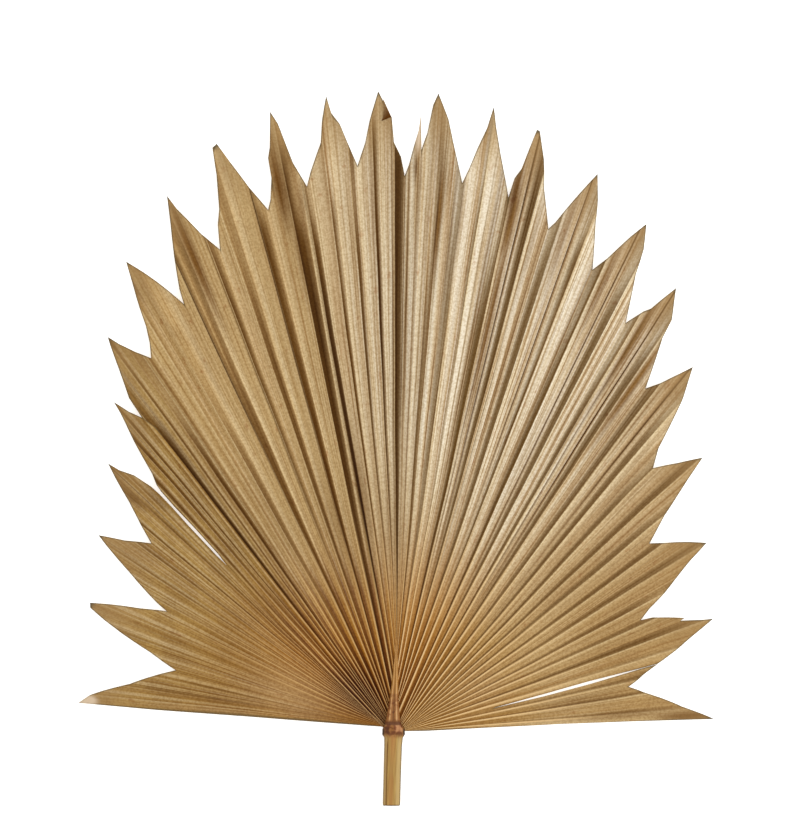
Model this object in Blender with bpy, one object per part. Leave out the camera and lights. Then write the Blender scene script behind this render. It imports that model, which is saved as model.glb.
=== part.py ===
"""A dried fan palm leaf, cut round its rim into pointed rays, lying flat with its stem towards -Y.

The stem, the spike that it runs on into, the collar and the pleated blade grew as one piece, so
they are one solid. Lengths are in millimetres up to the last step, which turns them to metres.
"""

import math

import bmesh
import bpy

MM = 0.001

# The pleats all run towards one point in the collar at the top of the stem. The leaf is laid out
# round that point: +Y goes up the middle of the blade, +X to its right and +Z up from the table.
# A direction in the blade is in degrees from +Y, and the left side of the leaf is negative.
BLADE_THICKNESS = 0.9  # straight down, so a steep flank keeps at least 0.65 across the sheet
PLEAT_DEPTH = 0.3  # height of a ridge over its valleys, as a share of the pleat's width
STEEPEST_FLANK = 0.95
ROWS = (0.0, 0.07, 0.18, 0.36, 0.55, 0.74, 0.88, 1.0)  # along a pleat, collar to rim
COLUMN_STEP = 0.95  # degrees between the lines of points across a wide flank

# The sheet is arched a few millimetres off the table and comes down to it at the two side points,
# at the top point and at the cut end of the stem.
ARCH_HEIGHT = 5.6
ARCH_CENTRE_Y = 190.0
ARCH_FALL_ACROSS = 4.4e-5
ARCH_FALL_ALONG = 1.335e-4

# The spike is 49 mm long. The upright pleats leave it near its tip, the side ones at the collar.
LOWEST_PLEAT = 4.0
SPIKE_LENGTH = 45.0
SPIKE_SPREAD = 17.0

# Stem, collar and spike: distance up the leaf, middle line, half width, underside, top
STEM = (
    (-47.2, -2.2, 5.35, 0.0, 5.4),
    (-46.2, -2.2, 5.5, 0.0, 5.6),
    (-30.0, -1.8, 5.5, 0.2, 5.8),
    (-10.0, -1.2, 5.6, 0.4, 5.8),
    (-4.5, -0.9, 5.9, 0.4, 5.8),
    (-2.5, -0.9, 7.2, 0.6, 5.7),
    (0.8, -0.9, 7.0, 0.6, 5.9),
    (3.0, -1.2, 5.6, 0.5, 6.5),
    (5.0, -1.3, 5.1, 0.5, 6.4),
    (7.0, -1.2, 4.5, 0.5, 5.6),
    (19.0, -0.8, 3.4, 0.6, 5.4),
    (31.0, 0.2, 2.6, 0.8, 5.3),
    (44.0, 0.8, 1.9, 1.2, 5.2),
    (58.0, 1.0, 0.8, 2.2, 4.4),
)
STEM_SIDES = 16

# Outline, ray by ray from the left: direction and reach of each corner of the cut edge
RAYS = (
    ((-85.2, 200.4), (-83.5, 193.4), (-80.2, 169.4)),
    ((-74.7, 143.1), (-72.3, 162.0), (-69.2, 195.4), (-68.0, 206.6), (-67.2, 207.8), (-64.4, 178.1)),
    ((-62.4, 162.0), (-61.8, 169.4), (-59.2, 194.4), (-56.6, 223.3), (-54.9, 208.0)),
    ((-52.4, 193.2), (-50.7, 208.0), (-49.3, 220.2), (-48.6, 228.5), (-47.0, 246.5), (-46.6, 238.4),
     (-45.6, 229.4)),
    ((-44.6, 210.0), (-43.4, 222.0), (-42.1, 243.6), (-40.8, 264.0), (-40.5, 271.7), (-39.8, 260.8)),
    ((-38.9, 252.9), (-38.6, 267.5), (-38.0, 276.0), (-37.4, 285.4), (-36.1, 306.4), (-35.5, 298.6),
     (-34.4, 288.5)),
    ((-33.2, 279.9), (-32.3, 288.6), (-31.6, 298.5), (-30.8, 317.5), (-29.8, 339.8), (-28.7, 328.2),
     (-27.9, 319.0)),
    ((-26.3, 299.2), (-26.0, 308.5), (-25.0, 326.7), (-23.9, 348.0), (-23.1, 365.8), (-22.7, 355.8),
     (-21.3, 335.0)),
    ((-20.0, 321.9), (-19.3, 337.0), (-18.6, 345.8), (-17.8, 367.2), (-17.4, 384.2), (-16.9, 385.8),
     (-16.2, 372.6), (-15.0, 353.0)),
    ((-13.7, 337.2), (-13.2, 343.0), (-12.6, 356.0), (-12.5, 368.5), (-12.1, 375.0), (-11.4, 396.5),
     (-10.9, 388.0), (-10.6, 376.9), (-10.2, 363.0)),
    ((-9.2, 346.6), (-8.6, 355.5), (-7.2, 372.5), (-6.8, 387.0), (-6.2, 401.9), (-5.9, 390.8),
     (-5.4, 382.8), (-4.7, 371.5)),
    ((-3.8, 356.1), (-2.9, 370.3), (-2.4, 383.5), (-1.5, 402.7), (-0.6, 389.4), (-0.3, 385.6),
     (-0.1, 369.8), (0.6, 361.0)),
    ((1.0, 349.1), (1.6, 357.0), (2.1, 369.0), (2.4, 387.8)),
    ((2.6, 365.8), (3.1, 376.6), (3.5, 394.5), (3.9, 401.5), (5.0, 386.4), (5.6, 373.0)),
    ((7.0, 346.6), (7.5, 355.9), (8.1, 370.5), (8.7, 383.5), (9.0, 397.4), (9.5, 385.2), (10.3, 370.1)),
    ((12.0, 342.6), (12.2, 355.1), (12.7, 362.2), (13.3, 388.4), (13.6, 388.0), (14.6, 371.2),
     (15.4, 352.9)),
    ((17.0, 330.0), (17.5, 335.0), (18.4, 348.6), (20.0, 372.7), (20.9, 357.3), (21.6, 342.2)),
    ((23.2, 315.3), (24.2, 325.5), (25.5, 344.1), (26.4, 355.8), (27.3, 340.4), (27.8, 324.1)),
    ((29.5, 294.5), (30.6, 306.0), (31.2, 310.1), (32.4, 329.6), (33.9, 311.0), (34.2, 298.4)),
    ((36.2, 266.6), (37.3, 274.5), (38.5, 286.5), (39.3, 295.5), (40.8, 276.5), (43.0, 243.0)),
    ((44.4, 231.2), (46.6, 245.0), (48.3, 258.3), (49.3, 243.5), (51.3, 216.5)),
    ((53.6, 198.7), (55.2, 207.3), (58.8, 228.4), (60.0, 214.5), (62.7, 190.5), (64.2, 177.5)),
    ((65.6, 169.5), (66.1, 177.1), (68.7, 195.4), (68.9, 192.5), (70.0, 204.5), (70.5, 211.8),
     (73.4, 187.4), (75.6, 170.5), (77.1, 160.3)),
    ((79.1, 149.5), (81.0, 158.2), (85.2, 181.2), (88.0, 201.1)),
)
# How far each ray's point has curled up in drying. The two outer rays and the top one lie flat.
CURL = (0.0, 2.2, 1.0, 1.8, 3.0, 0.8, 1.6, 1.0, 2.4, 3.2, 1.2, 0.0, 1.6, 1.4, 2.2, 1.2, 1.8, 1.0,
        2.4, 1.4, 2.0, 1.0, 2.6, 0.0)

# Creases from the left: the direction of each valley and of the ridge that follows it
CREASES = (
    (-83.2, -81.7), (-80.2, -78.4), (-76.9, -74.7), (-73.1, -71.4), (-69.8, -67.6), (-66.0, -64.4),
    (-62.4, -61.0), (-59.6, -58.2), (-56.6, -55.2), (-53.7, -52.4), (-50.7, -49.3), (-47.0, -45.8),
    (-44.6, -43.4), (-42.7, -41.6), (-40.5, -38.9), (-38.0, -37.4), (-36.1, -34.4), (-33.2, -31.6),
    (-29.8, -28.7), (-26.3, -25.0), (-23.1, -21.3), (-20.0, -18.6), (-17.2, -15.0), (-13.7, -12.1),
    (-10.9, -10.2), (-9.2, -7.2), (-6.2, -4.7), (-3.8, -2.4), (-1.5, -0.1), (1.0, 1.6),
    (2.6, 3.1), (3.9, 5.6), (7.0, 8.1), (9.0, 10.9), (12.0, 12.7), (13.6, 15.0),
    (17.0, 18.1), (20.0, 21.2), (23.2, 24.2), (26.4, 27.6), (29.5, 30.6), (32.4, 34.0),
    (36.2, 37.3), (39.3, 40.8), (43.0, 44.4), (46.6, 48.3), (50.0, 51.3), (53.6, 55.0),
    (57.2, 58.8), (61.2, 62.7), (65.6, 66.6), (68.7, 70.5), (72.8, 74.1), (76.8, 77.9),
    (80.3, 81.3), (84.1, 85.2),
)
# Two pleats have split: direction, how far out the split starts, and its width at the rim
SPLITS = ((-44.6, 150.0, 1.6), (75.6, 66.0, 1.9))


def between(x, points):
    """The value at x on the straight lines joining (x, value) points."""
    for (x0, y0), (x1, y1) in zip(points, points[1:]):
        if x <= x1:
            return y0 + (y1 - y0) * max(0.0, (x - x0) / (x1 - x0))
    return points[-1][1]


def reach(angle):
    """Distance from the collar to the cut edge in this direction."""
    return between(angle, [corner for ray in RAYS for corner in ray])


def attachment(angle):
    """How far up the spike a pleat of this direction leaves it."""
    return LOWEST_PLEAT + SPIKE_LENGTH * math.exp(-abs(angle) / SPIKE_SPREAD)


def on_blade(angle, out, shift=0.0):
    """Plan position at a distance out: the pleats swing out of the spike, then run straight."""
    start = attachment(angle)
    middle = between(start, [(row[0], row[1]) for row in STEM])
    half = between(start, [(row[0], row[2]) for row in STEM])
    x0 = middle + 0.5 * half * max(-1.0, min(1.0, angle / 15.0))
    swing = 7.0 + 30.0 * math.exp(-abs(angle) / 12.0)
    straight = 1.0 - math.exp(-(out - start) / swing)
    a = math.radians(angle)
    x = x0 + (out * math.sin(a) + shift * math.cos(a) - x0) * straight
    y = start + (out * math.cos(a) - shift * math.sin(a) - start) * straight
    return x, y


def ridge_height(index):
    """Height of a ridge for each millimetre of distance from the spike."""
    before, ridge = CREASES[index]
    after = CREASES[index + 1][0] if index + 1 < len(CREASES) else 88.0
    width = math.radians(after - before)
    flank = math.radians(min(ridge - before, after - ridge))
    shallow = between(ridge, ((-52.0, 0.42), (-40.0, 0.9), (-34.0, 1.0), (72.0, 1.0), (84.0, 0.6)))
    return shallow * min(PLEAT_DEPTH * width, STEEPEST_FLANK * flank)


def fold(angle):
    """Height of the folded sheet over its valleys, for each millimetre from the spike."""
    if angle <= CREASES[0][0]:
        return 0.5 * ridge_height(0) * (CREASES[0][0] - angle) / (CREASES[0][0] + 85.2)
    for index, (valley, ridge) in enumerate(CREASES):
        after = CREASES[index + 1][0] if index + 1 < len(CREASES) else 90.0
        if angle <= after:
            flank = (ridge - valley) if angle <= ridge else (after - ridge)
            rise = (angle - valley) / flank if angle <= ridge else (after - angle) / flank
            sag = 1.0 + 0.5 * max(0.0, min(1.0, (flank - 1.2) / 0.6))
            return ridge_height(index) * rise ** sag
    return 0.0


def curl(angle, out):
    """Rise of the sheet where a ray's point has curled up."""
    starts = [ray[0] for ray in RAYS] + [RAYS[-1][-1]]
    for index, ray in enumerate(RAYS):
        if angle <= starts[index + 1][0]:
            base = max(starts[index][1], starts[index + 1][1]) if 0 < index < 23 else 150.0
            tip = max(corner[1] for corner in ray)
            return CURL[index] * max(0.0, (out - base) / (tip - base)) ** 2
    return 0.0


def underside(angle, out, x, y):
    """Height of the sheet's lower face: the arch, the pleats and the curl, never below the table."""
    arch = ARCH_HEIGHT - ARCH_FALL_ACROSS * x * x - ARCH_FALL_ALONG * (y - ARCH_CENTRE_Y) ** 2
    return max(0.0, arch + fold(angle) * (out - attachment(angle)) + curl(angle, out))


def columns(first, last):
    """Directions of the lines of points from one split or margin to the next."""
    lines = [first, last] + [angle for pair in CREASES for angle in pair if first < angle < last]
    for angle in [corner[0] for ray in RAYS for corner in ray]:
        if first < angle < last and min(abs(angle - line) for line in lines) > 0.19:
            lines.append(angle)
    lines.sort()
    filled = []
    for left, right in zip(lines, lines[1:]):
        parts = max(1, round((right - left) / COLUMN_STEP))
        filled += [left + (right - left) * step / parts for step in range(parts)]
    return filled + [last]


def add_panel(bm, first, last):
    """A grid of points shaped into the part of the blade between two directions."""
    lines = columns(first, last)
    made = bmesh.ops.create_grid(bm, x_segments=len(lines) - 1, y_segments=len(ROWS) - 1, size=0.5)
    for vert in made["verts"]:
        column = round((vert.co.x + 0.5) * (len(lines) - 1))
        angle = lines[column]
        start = attachment(angle)
        out = start + (reach(angle) - start) * ROWS[round((vert.co.y + 0.5) * (len(ROWS) - 1))]
        shift = 0.0
        for direction, opens, width in SPLITS:
            if angle == direction:
                side = 1.0 if column == 0 else -1.0
                open_share = max(0.0, (out - opens) / (reach(angle) - opens))
                shift = side * 0.5 * width * min(1.0, 2.0 * open_share)
        x, y = on_blade(angle, out, shift)
        vert.co = (x, y, underside(angle, out, x, y) + BLADE_THICKNESS)


def make_blade():
    """The pleated sheet: its top face, then the same triangles set straight down."""
    bm = bmesh.new()
    edges = [RAYS[0][0][0]] + [split[0] for split in SPLITS] + [RAYS[-1][-1][0]]
    for first, last in zip(edges, edges[1:]):
        add_panel(bm, first, last)
    bmesh.ops.remove_doubles(bm, verts=bm.verts, dist=0.001)
    bmesh.ops.triangulate(bm, faces=bm.faces, quad_method="FIXED")
    lower = bmesh.ops.extrude_face_region(bm, geom=bm.faces[:])["geom"]
    for vert in [item for item in lower if isinstance(item, bmesh.types.BMVert)]:
        vert.co.z -= BLADE_THICKNESS
    bmesh.ops.recalc_face_normals(bm, faces=bm.faces)
    return finish(bm, "blade")


def make_stem():
    """The stem, collar and spike: a round bar drawn through the sections in STEM."""
    bm = bmesh.new()
    bmesh.ops.create_cone(bm, cap_ends=True, segments=STEM_SIDES, radius1=1.0, radius2=1.0, depth=1.0)
    long_edges = [edge for edge in bm.edges if abs(edge.verts[0].co.z - edge.verts[1].co.z) > 0.5]
    bmesh.ops.subdivide_edges(bm, edges=long_edges, cuts=len(STEM) - 2, use_grid_fill=True)
    for vert in bm.verts:
        station, middle, half, low, top = STEM[round((vert.co.z + 0.5) * (len(STEM) - 1))]
        across = math.copysign(abs(vert.co.x) ** 0.6, vert.co.x)
        up = math.copysign(abs(vert.co.y) ** 0.6, vert.co.y)
        vert.co = (middle + half * across, station, (low + top) / 2 + (top - low) / 2 * up)
    bmesh.ops.recalc_face_normals(bm, faces=bm.faces)
    return finish(bm, "stem")


def finish(bm, name):
    """Turns the working mesh, in millimetres, into an object in metres."""
    bmesh.ops.scale(bm, vec=(MM, MM, MM), verts=bm.verts)
    mesh = bpy.data.meshes.new(name)
    bm.to_mesh(mesh)
    bm.free()
    obj = bpy.data.objects.new(name, mesh)
    bpy.context.scene.collection.objects.link(obj)
    return obj


def dried_palm():
    """Dried palm tissue: light tan, matt with a faint sheen."""
    material = bpy.data.materials.new("dried_palm")
    material.use_nodes = True
    shader = material.node_tree.nodes["Principled BSDF"]
    shader.inputs["Base Color"].default_value = (0.42, 0.28, 0.13, 1.0)
    shader.inputs["Roughness"].default_value = 0.6
    shader.inputs["Metallic"].default_value = 0.0
    return material


def make_leaf():
    """Joins blade and stem into one body with its origin in the middle of its footprint."""
    blade = make_blade()
    stem = make_stem()
    union = blade.modifiers.new("grown together", "BOOLEAN")
    union.operation = "UNION"
    union.object = stem
    bpy.context.view_layer.update()
    grown = blade.evaluated_get(bpy.context.evaluated_depsgraph_get())
    mesh = bpy.data.meshes.new_from_object(grown)
    mesh.name = "palm_leaf"
    for obj in (blade, stem):
        bpy.data.objects.remove(obj, do_unlink=True)
    xs, ys, zs = ([vert.co[axis] for vert in mesh.vertices] for axis in range(3))
    for vert in mesh.vertices:
        vert.co.x -= (min(xs) + max(xs)) / 2
        vert.co.y -= (min(ys) + max(ys)) / 2
        vert.co.z -= min(zs)
    mesh.materials.clear()
    mesh.materials.append(dried_palm())
    return bpy.data.objects.new("palm_leaf", mesh)


for old in list(bpy.data.objects):
    bpy.data.objects.remove(old, do_unlink=True)
parts = bpy.data.collections.new("fan_palm_leaf")
bpy.context.scene.collection.children.link(parts)
parts.objects.link(make_leaf())
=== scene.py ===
import math

import bpy
import numpy as np
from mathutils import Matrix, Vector, noise


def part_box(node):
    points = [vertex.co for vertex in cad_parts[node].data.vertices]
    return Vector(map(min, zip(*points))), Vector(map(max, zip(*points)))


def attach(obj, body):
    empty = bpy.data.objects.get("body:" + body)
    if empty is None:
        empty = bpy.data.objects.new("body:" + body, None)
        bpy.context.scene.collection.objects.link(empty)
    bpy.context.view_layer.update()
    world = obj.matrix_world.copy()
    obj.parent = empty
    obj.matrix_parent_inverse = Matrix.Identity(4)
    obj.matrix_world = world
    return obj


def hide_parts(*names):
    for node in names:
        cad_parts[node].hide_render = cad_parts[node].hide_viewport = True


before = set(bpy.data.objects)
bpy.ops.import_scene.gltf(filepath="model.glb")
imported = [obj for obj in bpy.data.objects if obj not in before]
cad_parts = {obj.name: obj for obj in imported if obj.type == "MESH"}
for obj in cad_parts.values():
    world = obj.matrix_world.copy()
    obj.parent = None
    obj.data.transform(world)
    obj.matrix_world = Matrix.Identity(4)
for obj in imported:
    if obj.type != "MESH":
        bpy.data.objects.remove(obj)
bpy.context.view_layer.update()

MM = 0.001

# The blade
# One pleated sheet of dried leaf tissue, about half a millimetre thick, which grew folded like a
# fan. Its rim was cut with a knife into pointed rays and the leaf was pressed and dried flat.

# The leaf is laid out in millimetres round the point that its pleats run towards, in the collar
# at the top of the stem: +Y up the middle of the blade, +X to its right. Directions are in degrees
# from +Y, and the left side is negative.
PX = 0.63  # millimetres of leaf in one pixel of the photograph
ORIGIN_PX = np.array((395.0, 730.0))  # that point in the photograph, from its upper left corner
SHEET = 0.5
# The sheet is lifted this much over the heights worked out below. Where such a height is less than
# the second value, its lower face stays on the table.
SHEET_LIFT = 0.15
ON_TABLE = 0.1

# The cut rim, ray by ray from the left: direction and reach of each corner
RAYS = (
    ((-85.2, 200.4), (-83.5, 193.4), (-80.2, 169.4)),
    ((-74.7, 143.1), (-72.3, 162.0), (-69.2, 195.4), (-68.0, 206.6), (-67.2, 207.8), (-64.4, 178.1)),
    ((-62.4, 162.0), (-61.8, 169.4), (-59.2, 194.4), (-56.6, 223.3), (-54.9, 208.0)),
    ((-52.4, 193.2), (-50.7, 208.0), (-49.3, 220.2), (-48.6, 228.5), (-47.0, 246.5), (-46.6, 238.4),
     (-45.6, 229.4)),
    ((-44.6, 210.0), (-43.4, 222.0), (-42.1, 243.6), (-40.8, 264.0), (-40.5, 271.7), (-39.8, 260.8)),
    ((-38.9, 252.9), (-38.6, 267.5), (-38.0, 276.0), (-37.4, 285.4), (-36.1, 306.4), (-35.5, 298.6),
     (-34.4, 288.5)),
    ((-33.2, 279.9), (-32.3, 288.6), (-31.6, 298.5), (-30.8, 317.5), (-29.8, 339.8), (-28.7, 328.2),
     (-27.9, 319.0)),
    ((-26.3, 299.2), (-26.0, 308.5), (-25.0, 326.7), (-23.9, 348.0), (-23.1, 365.8), (-22.7, 355.8),
     (-21.3, 335.0)),
    ((-20.0, 321.9), (-19.3, 337.0), (-18.6, 345.8), (-17.8, 367.2), (-17.4, 384.2), (-16.9, 385.8),
     (-16.2, 372.6), (-15.0, 353.0)),
    ((-13.7, 337.2), (-13.2, 343.0), (-12.6, 356.0), (-12.5, 368.5), (-12.1, 375.0), (-11.4, 396.5),
     (-10.9, 388.0), (-10.6, 376.9), (-10.2, 363.0)),
    ((-9.2, 346.6), (-8.6, 355.5), (-7.2, 372.5), (-6.8, 387.0), (-6.2, 401.9), (-5.9, 390.8),
     (-5.2, 383.0), (-4.6, 370.5)),
    ((-3.8, 356.1), (-2.9, 370.3), (-2.4, 383.5), (-1.5, 402.7), (-0.6, 389.4), (-0.3, 385.6),
     (-0.1, 369.8), (0.6, 361.0)),
    ((1.0, 349.1), (1.42, 356.1), (1.86, 368.1), (2.25, 377.6), (2.42, 388.2)),
    ((2.6, 365.8), (3.1, 376.6), (3.5, 394.5), (3.9, 401.5), (5.0, 386.4), (5.6, 373.0)),
    ((7.0, 346.6), (7.5, 355.9), (8.1, 370.5), (8.7, 383.5), (9.0, 397.4), (9.5, 385.2), (10.3, 370.1)),
    ((12.0, 342.6), (12.2, 355.1), (12.7, 362.2), (13.3, 388.4), (13.6, 388.0), (14.6, 371.2),
     (15.4, 352.9)),
    ((17.0, 330.0), (17.5, 335.0), (18.4, 348.6), (20.0, 372.7), (20.9, 357.3), (21.6, 342.2)),
    ((23.2, 315.3), (24.2, 325.5), (25.5, 344.1), (26.4, 355.8), (27.3, 340.4), (27.8, 324.1)),
    ((29.5, 294.5), (30.6, 306.0), (31.2, 310.1), (32.4, 329.6), (33.9, 311.0), (34.2, 298.4)),
    ((36.2, 266.6), (37.3, 274.5), (38.5, 286.5), (39.3, 295.5), (40.8, 276.5), (43.0, 243.0)),
    ((44.4, 231.2), (46.6, 245.0), (48.3, 258.3), (49.3, 243.5), (51.3, 216.5)),
    ((53.6, 198.7), (55.2, 207.3), (58.8, 228.4), (60.0, 214.5), (62.7, 190.5), (64.2, 177.5)),
    ((65.6, 169.5), (66.1, 177.1), (68.7, 195.4), (68.9, 192.5), (70.0, 204.5), (70.5, 211.8),
     (73.4, 187.4), (75.6, 170.5), (77.1, 160.3)),
    ((79.1, 149.5), (81.0, 158.2), (85.2, 181.2), (88.0, 201.1)),
)
RIM = np.array([corner for ray in RAYS for corner in ray])
LEFT_MARGIN, RIGHT_MARGIN = RAYS[0][0][0], RAYS[-1][-1][0]
# How far each ray's point has curled up in drying
CURL = (0.0, 2.2, 1.0, 1.8, 3.0, 0.8, 1.6, 1.0, 2.4, 3.2, 1.2, 0.0, 1.6, 1.4, 2.2, 1.2, 1.8, 1.0,
        2.4, 1.4, 2.0, 1.0, 2.6, 0.0)

# Each fold has one steep flank, which faces the middle of the leaf and carries painted shade over its
# somewhat darker tissue. From the left: the direction of its ridge, of the foot of the steep flank and of
# the valley line, and how dark.
FOLDS = (
    (-83.5, -82.5, -82.4, 0.35), (-80.9, -79.8, -79.7, 0.35), (-77.6, -76.6, -76.5, 0.35),
    (-73.6, -73.0, -72.9, 0.2), (-70.4, -69.7, -69.6, 0.3), (-66.7, -66.1, -66.0, 0.3),
    (-63.6, -63.1, -63.0, 0.35), (-61.1, -60.7, -60.6, 0.45), (-59.9, -59.5, -59.4, 0.4),
    (-57.3, -56.8, -56.7, 0.6), (-55.6, -55.2, -55.1, 0.25), (-54.0, -53.5, -53.4, 0.65),
    (-52.5, -52.1, -52.0, 0.35), (-51.0, -50.5, -50.4, 0.6), (-49.3, -48.9, -48.8, 0.3),
    (-47.9, -47.3, -47.2, 0.8), (-46.4, -46.0, -45.9, 0.5), (-44.0, -43.3, -43.2, 0.65),
    (-42.0, -41.3, -41.2, 0.75), (-40.8, -40.3, -40.2, 0.65), (-38.7, -37.5, -37.4, 0.9),
    (-36.4, -36.0, -35.9, 0.7), (-34.9, -34.0, -33.9, 0.9), (-33.6, -32.9, -32.8, 0.4),
    (-31.1, -30.5, -30.4, 0.35), (-29.2, -27.9, -27.6, 0.6), (-24.95, -23.55, -23.3, 0.85),
    (-21.0, -20.2, -19.95, 1.0), (-18.6, -17.5, -17.1, 0.75), (-14.95, -13.85, -13.6, 1.0),
    (-11.3, -9.9, -9.7, 1.2), (-9.5, -8.75, -8.6, 1.3), (-7.0, -6.35, -6.2, 0.9),
    (-4.55, -3.9, -3.75, 1.2), (-2.2, -1.55, -1.4, 1.3), (-0.05, 0.95, 1.05, 1.25),
    (1.35, 1.65, 1.75, 0.6), (2.25, 2.85, 2.95, 0.5), (3.95, 4.85, 4.95, 0.75),
    (7.25, 6.2, 6.05, 0.55), (9.25, 8.95, 8.85, 0.5), (12.15, 11.2, 10.95, 0.9),
    (14.95, 14.1, 13.7, 0.75), (18.05, 17.05, 16.55, 0.75), (21.15, 20.4, 19.75, 0.75),
    (24.15, 23.25, 23.05, 0.85), (27.55, 26.55, 26.05, 0.75), (30.45, 29.6, 28.8, 0.7),
    (33.95, 32.95, 32.5, 0.7), (37.35, 36.3, 36.0, 0.65), (40.95, 39.9, 39.2, 0.65),
    (44.45, 43.4, 43.0, 0.65), (48.15, 47.0, 46.6, 0.65), (51.25, 50.1, 49.4, 0.6),
    (54.95, 53.9, 53.3, 0.6), (58.8, 57.6, 57.0, 0.55), (62.75, 61.6, 60.8, 0.55),
    (66.5, 65.5, 65.0, 0.5), (70.3, 69.0, 68.4, 0.6), (73.6, 72.7, 72.2, 0.35),
    (77.9, 76.9, 76.7, 0.5), (81.4, 80.5, 80.2, 0.45), (85.8, 84.8, 84.3, 0.35),
)
# Thinner lines between the folds, where the tissue has only creased, painted dark as shade: direction and
# how dark. The darkest, at -38.15, is the painted shadow along the closed tear.
CREASED = (
    (-79.0, 0.3), (-74.9, 0.3), (-71.8, 0.2), (-67.9, 0.25), (-62.0, 0.3), (-58.3, 0.25), (-38.15, 1.0),
    (-37.1, 0.5), (-26.3, 0.2), (-25.0, 0.5), (-22.6, 0.15), (-21.15, 0.6), (-18.2, 0.8),
    (-16.0, 0.15), (-15.0, 0.5), (-11.85, 0.5), (-7.6, 0.4), (-5.5, 0.2), (-2.65, 0.4), (-0.35, 0.45),
    (8.2, 0.2), (10.1, 0.25), (12.55, 1.0), (15.5, 0.6), (18.6, 0.35), (21.5, 0.2), (22.3, 0.25),
    (25.0, 0.4), (31.3, 0.8), (34.9, 0.3), (38.2, 0.3), (41.9, 0.3), (45.6, 0.3), (52.3, 0.25),
    (56.0, 0.25), (64.0, 0.25), (67.4, 0.25), (79.3, 0.25), (83.0, 0.25),
)
RIDGE_SHARE = 0.3  # height of a ridge over its valleys, as a share of the pleat's width
STEEPEST = 1.05  # rise of a steep flank for each millimetre across it
FLATTER_LEFT = ((-90.0, 0.4), (-52.0, 0.45), (-38.0, 0.9), (-34.0, 1.0), (72.0, 1.0), (90.0, 0.6))

# Where the pleats leave the spike that the stem runs on into: the upright ones high up, the others
# low down in the collar
LEAVES_AT = ((-90.0, 3.0), (-24.0, 3.0), (-15.0, 5.0), (-11.2, 10.0), (-9.8, 12.0), (-9.35, 22.0),
             (-6.9, 28.0), (-4.6, 42.0), (-2.1, 46.0), (2.0, 48.0), (4.0, 42.0), (7.0, 35.0),
             (9.0, 26.0), (12.0, 17.0), (15.0, 12.5), (18.0, 13.0), (21.0, 9.0), (24.0, 6.0),
             (28.0, 3.0), (90.0, 3.0))
# How sharply they turn away from it, the higher the lower down, and where they run straight
TURNS_BY = ((-90.0, 3.0), (-15.0, 3.0), (-11.2, 2.5), (-9.8, 1.6), (-9.35, 0.8), (-6.9, 1.0),
            (-4.6, 1.6), (-2.1, 0.9), (0.0, 1.2), (4.0, 2.0), (12.0, 1.9), (15.0, 1.8), (18.0, 3.0),
            (90.0, 3.0))
STRAIGHT_FROM = ((-11.0, 205.0), (-9.8, 250.0), (-1.5, 250.0), (1.0, 205.0))
# How far to the side the pleats run past that point, low down on the blade
PASSES_BY = ((-90.0, 2.2), (-83.0, 1.4), (-76.0, 0.0), (-62.0, -0.3), (-54.0, -1.2), (-50.0, -1.8),
             (-47.0, -2.6), (-44.6, -4.2), (-43.0, -3.6), (-41.0, -2.2), (-38.4, -2.0), (-36.0, -1.4),
             (-30.0, -0.3), (-20.0, 0.0), (21.0, 0.1), (24.0, 0.6), (27.0, 0.8), (31.0, 1.4),
             (34.0, 1.6), (38.0, 2.6), (43.0, 3.2), (47.0, 2.8), (50.0, 2.8), (55.0, 3.0),
             (60.0, 2.8), (66.0, 1.9), (76.0, 2.0), (82.0, 1.6), (86.0, 0.9), (90.0, 0.8))
PASSES_BY_FADES = ((95.0, 1.0), (210.0, 0.0))
# The upright pleats, which the spike carries, and how far it leans to the right for each millimetre
UPRIGHT = ((20.0, 1.0), (24.0, 0.0))
SPIKE_LEAN = 0.02

# The arch of the dried sheet over the table, as in the solid: its height, how far up the leaf its
# middle lies, and how it falls off across and along the leaf with the distance squared
ARCH = (5.6, 190.0, 4.4e-5, 1.335e-4)

# The lengthwise tears: direction, and how wide they gape at some distances
LEFT_SPLIT, RIGHT_SPLIT = -44.6, 75.6
SPLITS = (
    (LEFT_SPLIT, ((150.0, 0.0), (156.0, 1.5), (178.0, 1.9), (198.0, 1.3), (212.0, 2.0))),
    (RIGHT_SPLIT, ((62.0, 0.0), (95.0, 1.4), (125.0, 1.9), (145.0, 1.1), (160.0, 0.3), (170.0, 0.2))),
)
# The two grown margins bow to the side a little: direction, and how far at some distances
MARGINS = (
    (LEFT_MARGIN, ((3.0, 0.0), (16.0, -0.4), (60.0, -0.8), (100.0, -1.0), (150.0, -0.9), (196.0, 0.0))),
    (RIGHT_MARGIN, ((3.0, 0.0), (20.0, 0.4), (60.0, -0.3), (105.0, -0.9), (150.0, -0.6), (200.0, 0.1))),
)
# A third tear has closed again, with the left edge lying over the right one: the directions of the
# edge below and of the edge on top
EDGE_BELOW, EDGE_ON_TOP = -38.9, -38.2
# Distance at which each tear starts to show
OPENS_AT = {LEFT_SPLIT: 150.0, RIGHT_SPLIT: 62.0, EDGE_BELOW: 236.0, EDGE_ON_TOP: 236.0}
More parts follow.
